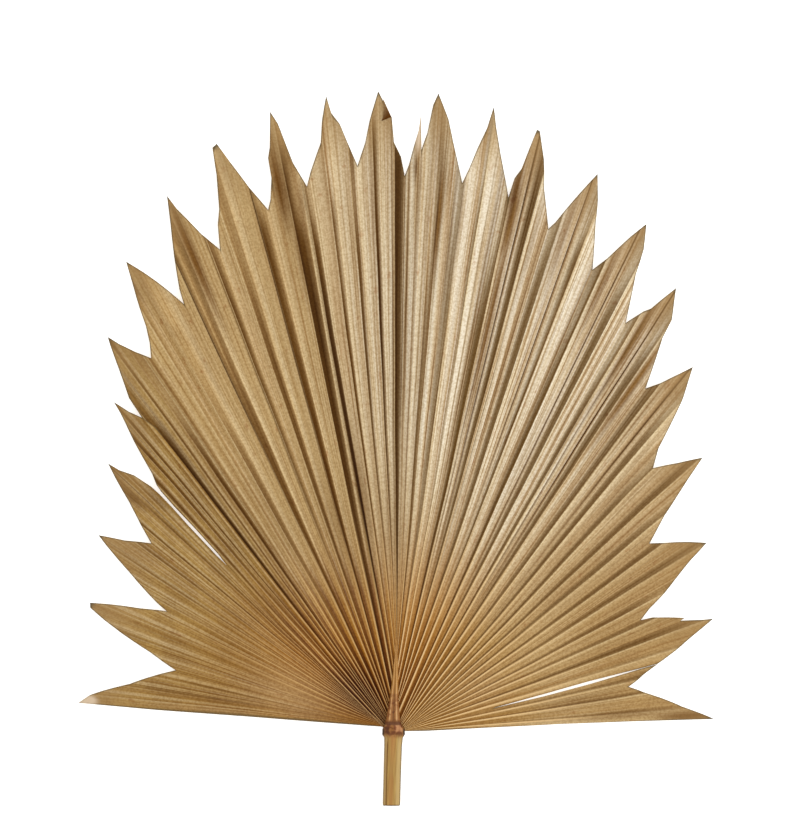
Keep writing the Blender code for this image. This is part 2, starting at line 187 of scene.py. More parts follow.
# Places where the painted shade on a fold's steep flank runs out before the point. In this table and the
# four below: direction, distance, half width, half length and strength
FADED = ((-83.2, 120.0, 4.0, 60.0, 0.7), (-76.8, 150.0, 3.0, 15.0, 0.8), (-47.4, 220.0, 2.5, 18.0, 0.7),
         (-38.1, 292.0, 7.0, 38.0, 1.0), (-37.6, 258.0, 3.5, 24.0, 0.9), (-34.6, 262.0, 3.0, 48.0, 0.7),
         (-28.5, 262.0, 8.0, 60.0, 0.6), (-28.5, 305.0, 5.0, 30.0, 0.9), (-24.4, 300.0, 2.2, 80.0, 0.9),
         (-20.6, 345.0, 4.0, 55.0, 0.6), (-18.3, 330.0, 3.5, 65.0, 0.7), (-14.0, 318.0, 2.4, 85.0, 0.7),
         (-10.7, 395.0, 8.0, 32.0, 0.8), (-10.3, 345.0, 6.0, 34.0, 0.75), (-8.9, 348.0, 5.0, 45.0, 0.85),
         (-6.5, 396.0, 4.0, 16.0, 1.0), (-6.65, 360.0, 4.0, 36.0, 1.0), (-6.5, 310.0, 3.0, 50.0, 0.5),
         (-4.2, 342.0, 3.0, 50.0, 0.8), (-1.9, 396.0, 4.0, 20.0, 1.0), (-1.8, 355.0, 3.0, 50.0, 0.6),
         (2.5, 374.0, 3.0, 16.0, 1.0), (3.4, 398.0, 3.0, 10.0, 0.7), (4.1, 330.0, 1.8, 70.0, 0.9),
         (6.6, 335.0, 2.0, 32.0, 0.5), (8.9, 370.0, 2.5, 24.0, 0.7), (9.2, 394.0, 3.0, 12.0, 0.7),
         (11.4, 332.0, 3.6, 50.0, 1.0), (17.3, 335.0, 3.0, 34.0, 0.6), (20.6, 352.0, 4.0, 26.0, 1.0),
         (20.6, 265.0, 2.4, 60.0, 0.4), (23.5, 290.0, 2.4, 50.0, 0.5), (26.9, 335.0, 3.0, 30.0, 0.9),
         (29.8, 285.0, 2.4, 32.0, 0.6), (33.3, 306.0, 2.8, 24.0, 0.9), (40.2, 280.0, 4.5, 28.0, 1.0),
         (43.7, 230.0, 2.4, 22.0, 0.6), (50.1, 225.0, 3.5, 26.0, 0.8), (62.6, 188.0, 3.0, 16.0, 0.8),
         (72.6, 192.0, 3.0, 20.0, 0.6), (-14.5, 345.0, 3.0, 22.0, 0.8))
# Soft hollows along the pleats, painted darker than the tissue beside them as shade
SHADED_HOLLOWS = ((-70.2, 182.0, 2.5, 24.0, 0.5), (-48.4, 222.0, 2.5, 14.0, 0.8), (-46.9, 243.0, 3.0, 7.0, 0.6),
           (-45.2, 222.0, 2.0, 8.0, 0.6), (-36.2, 303.0, 3.0, 8.0, 0.7), (-30.4, 328.0, 2.2, 18.0, 0.7),
           (-27.4, 260.0, 2.2, 48.0, 0.4), (-23.1, 328.0, 3.4, 50.0, 0.95), (-11.9, 352.0, 4.6, 32.0, 1.0),
           (-11.3, 305.0, 2.0, 36.0, 0.6), (-10.6, 262.0, 1.6, 36.0, 0.4), (-8.6, 150.0, 3.5, 55.0, 0.6),
           (1.5, 250.0, 2.0, 85.0, 0.5), (-2.3, 330.0, 1.6, 50.0, 0.4), (4.9, 325.0, 1.9, 50.0, 0.95),
           (5.6, 345.0, 2.0, 26.0, 0.4), (7.4, 318.0, 2.0, 42.0, 0.5), (12.7, 370.0, 2.6, 16.0, 1.0),
           (12.6, 350.0, 3.0, 26.0, 1.0), (12.8, 330.0, 3.2, 36.0, 1.0), (12.9, 268.0, 2.4, 85.0, 0.85),
           (15.65, 322.0, 2.4, 46.0, 0.55), (18.7, 332.0, 2.8, 46.0, 0.85), (24.8, 312.0, 2.8, 42.0, 0.85),
           (31.3, 288.0, 2.8, 54.0, 0.95), (30.6, 215.0, 2.2, 40.0, 0.5), (34.6, 266.0, 3.0, 52.0, 0.95),
           (37.8, 258.0, 2.0, 52.0, 0.6), (41.6, 235.0, 1.6, 34.0, 0.45), (42.9, 214.0, 1.2, 30.0, 0.4),
           (45.0, 214.0, 1.3, 30.0, 0.4), (87.2, 186.0, 3.5, 24.0, 0.85), (86.0, 140.0, 4.0, 44.0, 0.5),
           (80.5, 115.0, 6.0, 34.0, 0.45), (-2.0, 125.0, 16.0, 46.0, 0.34), (25.5, 190.0, 7.0, 50.0, 0.25),
           (-16.5, 135.0, 12.0, 46.0, 0.38), (-30.5, 150.0, 15.0, 50.0, 0.34))
# Patches painted paler on broad faces
PALE_PATCHES = ((-19.3, 262.0, 5.0, 70.0, 0.5), (-19.8, 270.0, 2.0, 70.0, 0.6), (-7.8, 275.0, 3.6, 75.0, 0.7),
          (-5.0, 250.0, 2.0, 60.0, 0.5), (62.0, 60.0, 24.0, 36.0, 0.5), (-73.0, 66.0, 22.0, 40.0, 0.5),
          (-84.4, 110.0, 3.0, 70.0, 0.4))
# Brown stains, and painted shadows: under the curled sliver of ray 13 and at the closed tear between rays 5
# and 6
STAINS_AND_SHADOWS = ((-66.0, 172.0, 0.8, 3.0, 0.3), (-59.0, 180.0, 1.0, 3.5, 0.4), (-45.6, 206.0, 2.4, 14.0, 0.5),
          (-37.6, 228.0, 1.8, 26.0, 0.5), (-11.7, 338.0, 2.6, 24.0, 0.5), (-10.0, 338.0, 3.0, 16.0, 0.4),
          (-5.5, 375.0, 0.8, 2.5, 0.5), (2.05, 354.0, 1.2, 9.0, 1.0), (12.5, 345.0, 2.6, 28.0, 0.7),
          (76.6, 160.0, 2.5, 9.0, 0.4), (80.0, 172.0, 1.0, 8.0, 0.4))
# Where the skin has torn off and the pale fibre shows
TORN = ((-84.6, 196.0, 4.0, 8.0, 1.0), (2.25, 378.0, 1.6, 14.0, 1.0), (-1.9, 372.0, 1.0, 1.2, 0.6))


def steps(x, table):
    """The value at x on the straight lines joining a table's points."""
    table = np.array(table)
    return np.interp(x, table[:, 0], table[:, 1])


# Height of each kind of line in its pleat, as a share of the ridge's height
LINE_HEIGHT = {"ridge": 1.0, "soft": 0.44, "foot": 0.1, "valley": 0.0, "margin": 0.3}
# A low ridge between the left folds and the right ones, which face each other: direction and rise
MIDDLE_RIDGE = (5.5, 0.006)
RIGHT_MARGIN_RISE = 0.002
# A face this wide, in degrees, bends once more along its middle
BENDS_OVER = 0.9


def creases():
    """Directions of all crease lines, their rise for each millimetre outward, and their kinds."""
    low_points = [LEFT_MARGIN, RIGHT_MARGIN] + [fold[2] for fold in FOLDS]
    lines = [(LEFT_MARGIN, 0.0, "margin"), (RIGHT_MARGIN, RIGHT_MARGIN_RISE, "margin")]
    lines.append((*MIDDLE_RIDGE, "soft"))
    for ridge, foot, valley, _ in FOLDS:
        below = max(point for point in low_points if point < ridge)
        above = min(point for point in low_points if point > ridge)
        width, flank = math.radians(above - below), math.radians(abs(ridge - foot))
        rise = min(RIDGE_SHARE * width, STEEPEST * flank) * float(steps(ridge, FLATTER_LEFT))
        far = below if ridge < valley else above
        lines += [(ridge, rise, "ridge"), (valley, 0.0, "valley")]
        lines.append((foot, LINE_HEIGHT["foot"] * rise, "foot"))
        if abs(far - ridge) > BENDS_OVER:
            lines.append(((far + ridge) / 2, LINE_HEIGHT["soft"] * rise, "soft"))
    return sorted(lines)


CREASES = creases()
CREASE_AT = np.array([line[0] for line in CREASES])
CREASE_RISE = np.array([line[1] for line in CREASES])


def on_blade(angle, out):
    """Plan position, and the direction across the pleat, at a distance out along a pleat."""
    a = np.radians(angle)
    start = steps(angle, LEAVES_AT)
    aside = steps(angle, PASSES_BY) * steps(out, PASSES_BY_FADES)
    straight = steps(angle, STRAIGHT_FROM)
    pull = np.clip((straight - out) / (straight - start), 0.0, 1.0) ** steps(angle, TURNS_BY)
    upright = steps(np.abs(angle), UPRIGHT)
    x = out * np.sin(a) + aside * np.cos(a)
    y = out * np.cos(a) - aside * np.sin(a)
    x -= upright * pull * start * (np.sin(a) - SPIKE_LEAN)
    y += upright * pull * start * (1.0 - np.cos(a))
    return x, y, np.cos(a), -np.sin(a)


def ripple(x, y, size, seed):
    """Soft irregular bumps, the given number of millimetres across, from -1 to 1."""
    points = np.stack([x / size, y / size, np.full_like(x, seed)], axis=-1).reshape(-1, 3)
    return np.array([noise.noise(Vector(point)) for point in points]).reshape(x.shape)


# The lines of points across the blade, in degrees: how far apart at most, how far beside each ridge
# one lies to keep it crisp, and how close creases, ridges and corners may come to other lines
COLUMN_STEP = 0.5
BESIDE_RIDGE = 0.09
CREASE_CLEARANCE, RIDGE_CLEARANCE, CORNER_CLEARANCE = 0.05, 0.2, 0.02


def pleat_columns(first, last, rim):
    """Directions of the lines of points between two tears or margins."""
    lines = [first, last]
    lines += [angle for angle in CREASE_AT if first + CREASE_CLEARANCE < angle < last - CREASE_CLEARANCE]
    ridges = [fold[0] for fold in FOLDS if first + RIDGE_CLEARANCE < fold[0] < last - RIDGE_CLEARANCE]
    for near in (-BESIDE_RIDGE, BESIDE_RIDGE):
        lines += [ridge + near for ridge in ridges]
    for angle in rim[:, 0]:
        if first < angle < last and min(abs(angle - line) for line in lines) > CORNER_CLEARANCE:
            lines.append(angle)
    lines.sort()
    filled = []
    for left, right in zip(lines, lines[1:]):
        parts = max(1, round((right - left) / COLUMN_STEP))
        filled += [left + (right - left) * step / parts for step in range(parts)]
    return np.array(filled + [last])


# The outer rays have a notch on one side only, and are free from here on
OUTER_RAYS_FREE_FROM = 150.0


def ray_tables():
    """For each ray: where it starts, how far its notches reach, its point, and the point's curl."""
    starts = [ray[0] for ray in RAYS] + [RAYS[-1][-1]]
    rows = []
    for index, ray in enumerate(RAYS):
        inner = 0 < index < len(RAYS) - 1
        base = max(starts[index][1], starts[index + 1][1]) if inner else OUTER_RAYS_FREE_FROM
        tip = max(ray, key=lambda corner: corner[1])
        rows.append((starts[index][0], base, tip[0], tip[1], CURL[index]))
    return np.array(rows)


RAY_TABLE = ray_tables()
# The sheet is no higher than the solid, with a soft limit that sets in this far below its top
SOLID_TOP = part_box("palm_leaf")[1][2] / MM
SOFT_LIMIT = 0.25
# Ridges waver in height by this share, and the sheet buckles by 0.2 mm over about 18 mm
RIDGE_WAVER = 0.1
BUCKLE, BUCKLE_SIZE = 0.2, 18.0
BUCKLE_FROM_COLLAR = ((0.0, 0.0), (80.0, 1.0))
# Where a pale sheen is painted on the blade, by direction and by distance
PAINTED_SHEEN_ACROSS = ((-90.0, 0.0), (-30.0, 0.0), (-12.0, 0.15), (-7.0, 0.55), (2.0, 0.78), (12.0, 0.9),
                (28.0, 0.95), (40.0, 0.52), (56.0, 0.3), (70.0, 0.2), (90.0, 0.15))
PAINTED_SHEEN_OUT = ((30.0, 0.0), (70.0, 0.2), (130.0, 0.7), (190.0, 1.0))
# How dark the painted shade along the valley lines is, as a share of their folds' steep flanks, and some
# that differ
VALLEY_SHARES = ((-90.0, 0.55), (-45.0, 0.45), (-30.0, 0.15), (-1.0, 0.15), (1.0, 0.3), (90.0, 0.3))
DARK_VALLEYS = {13.7: 0.65, 19.75: 0.45, 26.05: 0.55, 32.5: 0.65, 39.2: 0.4}
# Shares by which the painted shade of the steep flanks and the painted sheen fade at the points
FLANK_FADES, PAINTED_SHEEN_FADES = 0.35, 0.5
# The scorched patch left of the collar: its direction and spread in degrees, distance and spread in mm
SCORCH = (-42.0, 26.0, 25.0, 30.0)


def lie(angle, out, x, y):
    """Height of the sheet's lower face: its arch, pleats, curled points and buckles."""
    height, centre, fall_x, fall_y = ARCH
    arch = height - fall_x * x * x - fall_y * (y - centre) ** 2
    rise = np.interp(angle, CREASE_AT, CREASE_RISE) * (out - steps(angle, LEAVES_AT))
    rise = rise * (1.0 + RIDGE_WAVER * ripple(angle * 3.0, out / 8.0, size=9.0, seed=8.0))
    lift = RAY_TABLE[ray_of(angle), 4] * up_ray(angle, out) ** 2
    buckle = BUCKLE * ripple(x, y, BUCKLE_SIZE, seed=5.0) * steps(out, BUCKLE_FROM_COLLAR)
    low = np.maximum(0.0, arch + rise + lift + buckle)
    return -SOFT_LIMIT * np.logaddexp(-low / SOFT_LIMIT, -(SOLID_TOP - SHEET - SHEET_LIFT) / SOFT_LIMIT)


def ray_of(angle):
    """Index of the ray that a direction lies in."""
    return np.searchsorted(RAY_TABLE[:, 0], angle, side="right").clip(1) - 1


def up_ray(angle, out):
    """How far up its free ray a point lies, from 0 at the notches to 1 at the ray's point."""
    base, tip_reach = (RAY_TABLE[ray_of(angle), k] for k in (1, 3))
    return np.clip((out - base) / (tip_reach - base), 0.0, 1.0)


def spots(angle, out, table):
    """How strongly the soft spots of a table show at each point."""
    shown = np.zeros(angle.shape)
    for spot_angle, spot_out, half_wide, half_long, strength in table:
        aside = np.radians(angle - spot_angle) * out / half_wide
        shown = np.maximum(shown, strength * np.exp(-aside ** 2 - ((out - spot_out) / half_long) ** 2))
    return shown


def facts_at(angle, out, rim_mm):
    """What the tissue's colours follow, at each point."""
    tip_angle, tip_reach = (RAY_TABLE[ray_of(angle), k] for k in (2, 3))
    flank_shown = (1.0 - spots(angle, out, FADED)) * (1.0 - FLANK_FADES * up_ray(angle, out))
    painted_sheen_shown = 1.0 - PAINTED_SHEEN_FADES * up_ray(angle, out)
    lines, shares = list(CREASED), []
    for _, _, valley, dark in FOLDS:
        lines.append((valley, DARK_VALLEYS.get(valley, steps(valley, VALLEY_SHARES) * dark)))
    lines.sort()
    for ridge, _, valley, _ in FOLDS:
        shares += [(ridge, 1.0), (valley, 0.0)] if ridge < valley else [(valley, 1.0), (ridge, 0.0)]
    scorch_angle, wide, scorch_out, long = SCORCH
    return {
        "across": angle,
        "out": out,
        "ridge_mm": nearest(angle, [fold[0] for fold in FOLDS]) * np.radians(out),
        "line_mm": nearest(angle, [line[0] for line in lines]) * np.radians(out),
        "line_shade": steps(angle, lines),
        "flank_mm": inside_flank(angle) * np.radians(out),
        "flank_dark": flank_darkness(angle) * flank_shown,
        "up_flank": steps(angle, [(line[0], 1.0 if line[2] == "ridge" else 0.0) for line in CREASES]),
        "height": steps(angle, [(line[0], LINE_HEIGHT[line[2]]) for line in CREASES]),
        "painted_sheen": steps(angle, PAINTED_SHEEN_ACROSS) * steps(out, PAINTED_SHEEN_OUT) * painted_sheen_shown,
        "scorch": np.exp(-((angle - scorch_angle) / wide) ** 2 - ((out - scorch_out) / long) ** 2),
        "pleat_share": steps(angle, shares),
        "hollow_shade": spots(angle, out, SHADED_HOLLOWS),
        "pale_patch": spots(angle, out, PALE_PATCHES),
        "stain_and_shadow": spots(angle, out, STAINS_AND_SHADOWS),
        "torn": spots(angle, out, TORN),
        "rim_mm": rim_mm,
        "tip_mm": np.hypot(out - tip_reach, np.radians(angle - tip_angle) * out),
    }


# Points along each pleat, a little closer at both its ends, by this share
ROW_COUNT = 58
CLOSER_AT_ENDS = 0.4
# The pleat lines wander to the side by 0.4 mm, but not at the collar, the margins and the rim
WANDER = 0.4
WANDER_FROM_COLLAR = ((0.0, 0.0), (120.0, 1.0))
WANDER_TO_RIM = ((0.0, 0.0), (25.0, 1.0))


def panel(first, last, rim):
    """Points and surface facts of one stretch of the blade, as arrays of rows by columns."""
    angle = pleat_columns(first, last, rim)
    even = np.linspace(0.0, 1.0, ROW_COUNT)[:, None]
    share = (1.0 - CLOSER_AT_ENDS) * even + CLOSER_AT_ENDS * (0.5 - 0.5 * np.cos(math.pi * even))
    reach = np.interp(angle, rim[:, 0], rim[:, 1])
    out = steps(angle, LEAVES_AT) + (reach - steps(angle, LEAVES_AT)) * share
    angle = np.broadcast_to(angle, out.shape)
    x, y, across_x, across_y = on_blade(angle, out)
    aside = WANDER * ripple(angle * 1.6, out / 5.0, size=11.0, seed=3.0) * steps(out, WANDER_FROM_COLLAR)
    aside *= ((angle > first) & (angle < last)) * steps(reach - out, WANDER_TO_RIM)
    for direction, gape in SPLITS:
        side = (angle == direction) * (1.0 if first == direction else -1.0)
        aside = aside + side * 0.5 * steps(out, gape)
    for direction, bow in MARGINS:
        aside = aside + (angle == direction) * steps(out, bow)
    x, y = x + aside * across_x, y + aside * across_y
    facts = facts_at(angle, out, rim_distance(angle, out, reach, rim, first, last))
    return x, y, lie(angle, out, x, y), facts


def nearest(angle, lines):
    """Degrees to the nearest of the given directions."""
    lines = np.sort(np.array(lines))
    spot = np.searchsorted(lines, angle).clip(1, len(lines) - 1)
    return np.minimum(np.abs(angle - lines[spot - 1]), np.abs(angle - lines[spot]))


def inside_flank(angle):
    """Degrees inside the nearest steep flank's edges, or minus the degrees outside them."""
    best = np.full(angle.shape, -np.inf)
    for ridge, foot, _, _ in FOLDS:
        left, right = min(ridge, foot), max(ridge, foot)
        best = np.maximum(best, np.minimum(angle - left, right - angle))
    return best


def flank_darkness(angle):
    """How dark the painted shade of the nearest steep flank is."""
    edges = sorted([(fold[0], fold[3]) for fold in FOLDS] + [(fold[1], fold[3]) for fold in FOLDS])
    return steps(angle, edges)


def rim_distance(angle, out, reach, rim, first, last):
    """Millimetres to the cut rim or to a torn or grown margin."""
    slope = np.gradient(np.interp(angle[0], rim[:, 0], rim[:, 1]), np.radians(angle[0])) / reach
    to_cut = (reach - out) / np.sqrt(1.0 + slope * slope)
    nearby = to_cut
    for direction in (first, last):
        to_side = np.radians(np.abs(angle - direction)) * out
        nearby = np.where(out > OPENS_AT.get(direction, 0.0), np.minimum(nearby, to_side), nearby)
    return nearby


# The solid's origin is the middle of its footprint, which the outline gives as well
STEM_END = -47.2
low_corner, high_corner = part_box("palm_leaf")
rim_x = RIM[:, 1] * np.sin(np.radians(RIM[:, 0]))
TO_PART = ((low_corner[0] + high_corner[0]) / 2 / MM - (rim_x.min() + rim_x.max()) / 2,
           low_corner[1] / MM - STEM_END)


def sheet_mesh(name, panels):
    """A closed thin mesh: each panel's upper face, the same grid below it, and walls round it."""
    points, quads, facts = [], [], {}
    for x, y, low, panel_facts in panels:
        rows, cols = x.shape
        first = sum(len(block) for block in points)
        upper = np.stack([x, y, low + SHEET_LIFT + SHEET], axis=-1).reshape(-1, 3)
        lower = np.stack([x, y, low + SHEET_LIFT * (low > ON_TABLE)], axis=-1).reshape(-1, 3)
        points += [upper, lower]
        grid = np.arange(rows * cols).reshape(rows, cols) + first
        under = grid + rows * cols
        a, b, c, d = grid[:-1, :-1], grid[:-1, 1:], grid[1:, 1:], grid[1:, :-1]
        quads.append(np.stack([a, b, c, d], axis=-1).reshape(-1, 4))
        a, b, c, d = under[:-1, :-1], under[1:, :-1], under[1:, 1:], under[:-1, 1:]
        quads.append(np.stack([a, b, c, d], axis=-1).reshape(-1, 4))
        ring = np.concatenate([grid[0, :-1], grid[:-1, -1], grid[-1, :0:-1], grid[:0:-1, 0]])
        after = np.roll(ring, -1)
        quads.append(np.stack([ring, ring + rows * cols, after + rows * cols, after], axis=-1))
        for key, values in panel_facts.items():
            facts.setdefault(key, []).append(np.tile(values.reshape(-1), 2))
    mesh = bpy.data.meshes.new(name)
    points = (np.concatenate(points) + np.array([*TO_PART, 0.0])) * MM
    points = np.clip(points, low_corner, high_corner)
    mesh.from_pydata(points.tolist(), [], np.concatenate(quads).tolist())
    for key, blocks in facts.items():
        attribute = mesh.attributes.new(key, "FLOAT", "POINT")
        attribute.data.foreach_set("value", np.concatenate(blocks).astype(np.float32))
    mesh.shade_smooth()
    mesh.update()
    piece = bpy.data.objects.new(name, mesh)
    bpy.context.scene.collection.objects.link(piece)
    return piece


# Ray 5 runs on over ray 6, as far as the upper edge of the tear, and rises towards that edge. The
# strip that lies on top gets no painted shade on its steep flank.
OVER_RAY_6 = ((EDGE_BELOW, 252.9), (-38.5, 247.0), (EDGE_ON_TOP, 242.0))
EDGE_LIFT = 0.9
LIFT_ACROSS = ((-39.6, 0.0), (-37.9, 1.0))
LIFT_OUT = ((0.0, 0.0), (150.0, 1.0))
over = np.concatenate([RIM[RIM[:, 0] < EDGE_BELOW], OVER_RAY_6])
panels = [panel(LEFT_MARGIN, LEFT_SPLIT, RIM), panel(LEFT_SPLIT, EDGE_ON_TOP, over),
          panel(EDGE_BELOW, RIGHT_SPLIT, RIM), panel(RIGHT_SPLIT, RIGHT_MARGIN, RIM)]
_, _, over_low, over_facts = panels[1]
over_low += EDGE_LIFT * steps(over_facts["across"], LIFT_ACROSS) ** 2 * steps(over_facts["out"], LIFT_OUT)
over_facts["flank_dark"] *= over_facts["across"] < EDGE_BELOW

# The right shoulder of ray 12 is folded back over its upper face; its brown underside shows, painted darker
# still as shade towards the foot of the fold.
# Corners in the photograph's pixels: the top and foot of the fold line, and the free corner
FLAP = ((383.0, 98.5), (391.4, 117.5), (381.5, 121.0))
FLAP_STEPS = 9
FLAP_GAP = 0.1  # between the flap and the heights that the blade below it is drawn from
FLAP_SPREAD = 1.6  # how fast its upper edge leaves the fold line
FLAP_INSIDE = 2.0  # counts as this far from the rim, so it gets no cut edge
# The flap's painted darkness, for its brown underside and painted shade growing towards the foot
FLAP_DARKNESS = (0.35, 0.9)  # at the top and the foot of the fold line
flap_range = np.linspace(0.0, 1.0, FLAP_STEPS)
across_flap, along_flap = np.meshgrid(flap_range, flap_range)
corner_x, corner_y = ((np.array(FLAP) - ORIGIN_PX) * (PX, -PX)).T
fold_x = corner_x[0] + (corner_x[1] - corner_x[0]) * along_flap
fold_y = corner_y[0] + (corner_y[1] - corner_y[0]) * along_flap
free = across_flap * np.minimum(1.0, FLAP_SPREAD * along_flap)
flap_x = fold_x + (corner_x[2] - fold_x) * free
flap_y = fold_y + (corner_y[2] - fold_y) * free
flap_angle, flap_out = np.degrees(np.arctan2(flap_x, flap_y)), np.hypot(flap_x, flap_y)
flap_low = lie(flap_angle, flap_out, flap_x, flap_y) + SHEET + FLAP_GAP
flap_facts = facts_at(flap_angle, flap_out, np.full(flap_x.shape, FLAP_INSIDE))
flap_facts["stain_and_shadow"] = FLAP_DARKNESS[0] + (FLAP_DARKNESS[1] - FLAP_DARKNESS[0]) * along_flap
panels.append((flap_x, flap_y, flap_low, flap_facts))
blade = sheet_mesh("blade", panels)


def paint(code):
    """Linear colour of an sRGB hex value."""
    channels = [int(code[at:at + 2], 16) / 255.0 for at in (1, 3, 5)]
    linear = [c / 12.92 if c <= 0.04045 else ((c + 0.055) / 1.055) ** 2.4 for c in channels]
    return (*linear, 1.0)


def add_node(tree, kind, sockets=(), **settings):
    """Adds one node with its settings, then its input values and links, given as (socket, value)."""
    made = tree.nodes.new("ShaderNode" + kind)
    for key, value in settings.items():
        setattr(made, key, value)
    for socket, value in sockets:
        if isinstance(value, bpy.types.NodeSocket):
            tree.links.new(value, made.inputs[socket])
        else:
            made.inputs[socket].default_value = value
    return made


def lay_coats(tree, colour, facts, coats):
    """Lays coats of colour over one another, each where all its masks let it show."""
    for mode, hue, share, masks in coats:
        for fact, low, high in masks:
            limits = [("Value", facts[fact]), ("From Min", low), ("From Max", high)]
            mask = add_node(tree, "MapRange", limits, interpolation_type="SMOOTHSTEP")
            masked = add_node(tree, "Math", [(0, share), (1, mask.outputs["Result"])], operation="MULTIPLY")
            share = masked.outputs[0]
        mixed = add_node(tree, "Mix", [(0, share), (6, colour), (7, paint(hue))],
                         data_type="RGBA", blend_type=mode)
        colour = mixed.outputs[2]
    return colour


# Dried fan palm tissue: a waxy skin over parallel fibres, cream to tan, browner near the collar. The steep
# flanks, partly darker tissue, and the valleys of the folds carry painted shade, and the upper right a
# painted sheen. Matt.
TISSUE_FACTS = ("across", "out", "ridge_mm", "line_mm", "line_shade", "flank_mm", "flank_dark", "up_flank",
                "height", "pleat_share", "painted_sheen", "scorch", "hollow_shade", "pale_patch", "stain_and_shadow", "torn", "rim_mm",
                "tip_mm")
# Patterns along the fibres: steps for each degree across and for each millimetre out, and detail.
# The fibres lie 0.3 mm apart in life and are drawn about 1 mm apart, which the render can show.
TISSUE_GRAIN = {"fibres": (4.6, 0.006, 3.0), "streaks": (1.3, 0.004, 2.0), "rust": (0.9, 0.11, 3.0)}
TISSUE_COATS = (
    # Uneven drying, in patches 15 to 40 mm across
    ("MIX", "#9E7D48", 1.0, (("patches", 0.35, 0.65),)),
    # Paler where the broad pleats left of the middle lie smooth, and greyer at the far left
    ("MIX", "#CFB280", 0.75, (("out", 50.0, 120.0), ("across", -40.0, -29.0))),
    ("MIX", "#B49A76", 0.5, (("out", 160.0, 220.0), ("across", -45.0, -65.0))),
    # A pale painted sheen over the upper right
    ("MIX", "#E6D9BE", 0.82, (("painted_sheen", 0.0, 1.0),)),
    # Painted light across each pleat: a painted highlight along its left side, and in the painted sheen
    # painted shade towards its right
    ("MIX", "#EAD8B0", 0.35, (("pleat_share", 0.4, 0.05),)),
    ("MULTIPLY", "#BFA274", 0.6, (("pleat_share", 0.4, 1.0), ("painted_sheen", 0.05, 0.6))),
    # Darker over the flanks of the lower right
    ("MULTIPLY", "#DCCDB2", 0.6, (("across", 36.0, 62.0), ("out", 90.0, 150.0))),
    # Painted highlight along the ridges
    ("MIX", "#E6D2A8", 0.3, (("ridge_mm", 0.7, 0.1), ("out", 40.0, 120.0))),
    # Orange brown towards the collar, least at the right, and scorched to its left
    ("MIX", "#B8842E", 0.6, (("out", 120.0, 20.0),)),
    ("MIX", "#AA6C12", 0.7, (("out", 150.0, 40.0), ("across", 45.0, 15.0), ("across", -80.0, -45.0))),
    ("MULTIPLY", "#DCC8A4", 0.7, (("across", -30.0, -45.0), ("out", 170.0, 110.0))),
    ("MULTIPLY", "#8A5418", 0.8, (("scorch", 0.1, 0.9),)),
    # Patches painted paler
    ("MIX", "#D2B488", 0.7, (("pale_patch", 0.0, 1.0),)),
    # Dark and light fibres. In the painted sheen the dark ones stand out more, and pale streaks of painted
    # sheen run along them
    ("MULTIPLY", "#BFA274", 0.55, (("fibres", 0.52, 0.3),)),
    ("MULTIPLY", "#B4945E", 0.6, (("fibres", 0.5, 0.32), ("painted_sheen", 0.45, 0.9))),
    ("MULTIPLY", "#C8AC84", 0.4, (("streaks", 0.5, 0.3),)),
    ("MIX", "#F0E2C4", 0.16, (("fibres", 0.52, 0.72),)),
    ("MIX", "#ECE5D6", 0.5, (("streaks", 0.5, 0.64), ("painted_sheen", 0.55, 0.95))),
    ("MIX", "#FCF6EA", 0.45, (("fibres", 0.5, 0.68), ("painted_sheen", 0.4, 0.9))),
    ("MULTIPLY", "#CC9A70", 0.4, (("rust", 0.62, 0.74),)),
    # A fine mottling, 1 to 2 mm across
    ("MULTIPLY", "#C8B69A", 0.4, (("mottle", 0.58, 0.4),)),
    # Painted shade in soft hollows
    ("MULTIPLY", "#98794E", 1.0, (("hollow_shade", 0.0, 0.95),)),
    # Painted shade on the steep flanks, over somewhat darker tissue, most of all below the ridge
    ("MULTIPLY", "#8E702A", 0.75, (("flank_mm", -0.3, 0.5), ("flank_dark", 0.0, 1.0))),
    ("MULTIPLY", "#9C7E3A", 0.9, (("flank_mm", -0.2, 0.5), ("flank_dark", 0.0, 1.0),
                                  ("up_flank", 0.0, 0.55))),
    ("MULTIPLY", "#7E6222", 0.9, (("flank_mm", -0.2, 0.4), ("flank_dark", 0.95, 1.5))),
    # Painted shade along the bottoms of the folds and the creases between them
    ("MULTIPLY", "#7A5A18", 0.9, (("line_mm", 1.0, 0.2), ("line_shade", 0.0, 1.0), ("out", 50.0, 170.0))),
    ("MULTIPLY", "#7A5A20", 0.85, (("line_mm", 0.55, 0.1), ("line_shade", 0.15, 0.45),
                                   ("out", 140.0, 240.0))),
    # Left of the middle the folds close up well before the collar, with painted shade in their valleys
    ("MULTIPLY", "#84500A", 0.7, (("height", 0.4, 0.08), ("out", 130.0, 85.0), ("across", -54.0, -44.0),
                                  ("across", -3.0, -9.0))),
    # Towards the collar all folds close up, with painted shade between them and a painted highlight on
    # their ridges
    ("MULTIPLY", "#905C10", 0.55, (("out", 85.0, 15.0), ("height", 0.8, 0.2), ("across", -76.0, -60.0))),
    ("MULTIPLY", "#905C10", 0.6, (("out", 85.0, 15.0), ("height", 0.8, 0.2), ("across", 50.0, 20.0))),
    ("MIX", "#E2BC80", 0.65, (("out", 160.0, 50.0), ("height", 0.62, 1.0), ("across", -76.0, -60.0))),
    ("MIX", "#F2D2A0", 0.5, (("out", 140.0, 40.0), ("height", 0.55, 0.95), ("across", -3.0, 9.0))),
    # The points are browner, with stains, painted shadows, and a grey brown cut edge that is partly painted
    # shadow along the rim; torn places are pale
    ("MIX", "#97774C", 0.5, (("tip_mm", 50.0, 6.0),)),
    ("MULTIPLY", "#86602C", 1.0, (("stain_and_shadow", 0.05, 0.9),)),
    ("MIX", "#665638", 0.75, (("rim_mm", 0.9, 0.2),)),
    ("MIX", "#5C5340", 0.75, (("tip_mm", 5.0, 0.8),)),
    ("MIX", "#D9C4AA", 0.85, (("torn", 0.15, 0.7),)),
)


